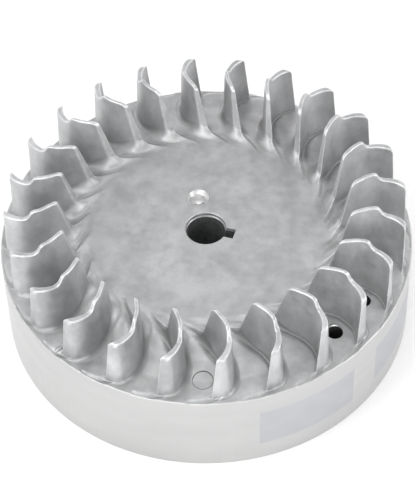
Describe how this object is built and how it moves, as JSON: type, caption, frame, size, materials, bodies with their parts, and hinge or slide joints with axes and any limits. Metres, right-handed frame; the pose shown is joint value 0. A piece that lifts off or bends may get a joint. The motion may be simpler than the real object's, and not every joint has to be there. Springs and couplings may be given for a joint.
{
  "type": "fan flywheel",
  "caption": "Die-cast flywheel with a ring of curved fan blades, a keyed hub bore and a cast-in ignition magnet with laminated pole shoes.",
  "frame": {"origin": "on the bore axis, in the plane of the rim's bottom face", "axes": "+Z along the bore axis, towards the fan blades; -Y faces the viewer in the reference view"},
  "size_m": [0.17, 0.17, 0.0686],
  "materials": {
    "cast_aluminium": "satin as-cast skin, turned on the rim",
    "hub_steel": "bored and broached, lightly oiled",
    "lamination_steel": "ground flush with the rim",
    "magnet": "dull"
  },
  "bodies": {
    "root": {"flywheel_casting": "cast_aluminium", "fan_blades": "cast_aluminium", "hub_bush": "hub_steel", "leading_shoe_lamination_01": "lamination_steel", "leading_shoe_lamination_02": "lamination_steel", "leading_shoe_lamination_03": "lamination_steel", "leading_shoe_lamination_04": "lamination_steel", "leading_shoe_lamination_05": "lamination_steel", "leading_shoe_lamination_06": "lamination_steel", "leading_shoe_lamination_07": "lamination_steel", "leading_shoe_lamination_08": "lamination_steel", "leading_shoe_lamination_09": "lamination_steel", "leading_shoe_lamination_10": "lamination_steel", "leading_shoe_lamination_11": "lamination_steel", "leading_shoe_lamination_12": "lamination_steel", "leading_shoe_lamination_13": "lamination_steel", "leading_shoe_lamination_14": "lamination_steel", "trailing_shoe_lamination_01": "lamination_steel", "trailing_shoe_lamination_02": "lamination_steel", "trailing_shoe_lamination_03": "lamination_steel", "trailing_shoe_lamination_04": "lamination_steel", "trailing_shoe_lamination_05": "lamination_steel", "trailing_shoe_lamination_06": "lamination_steel", "trailing_shoe_lamination_07": "lamination_steel", "trailing_shoe_lamination_08": "lamination_steel", "trailing_shoe_lamination_09": "lamination_steel", "trailing_shoe_lamination_10": "lamination_steel", "trailing_shoe_lamination_11": "lamination_steel", "trailing_shoe_lamination_12": "lamination_steel", "trailing_shoe_lamination_13": "lamination_steel", "trailing_shoe_lamination_14": "lamination_steel", "leading_shoe_rivets": "lamination_steel", "trailing_shoe_rivets": "lamination_steel", "ignition_magnet": "magnet"}
  },
  "joints": []
}
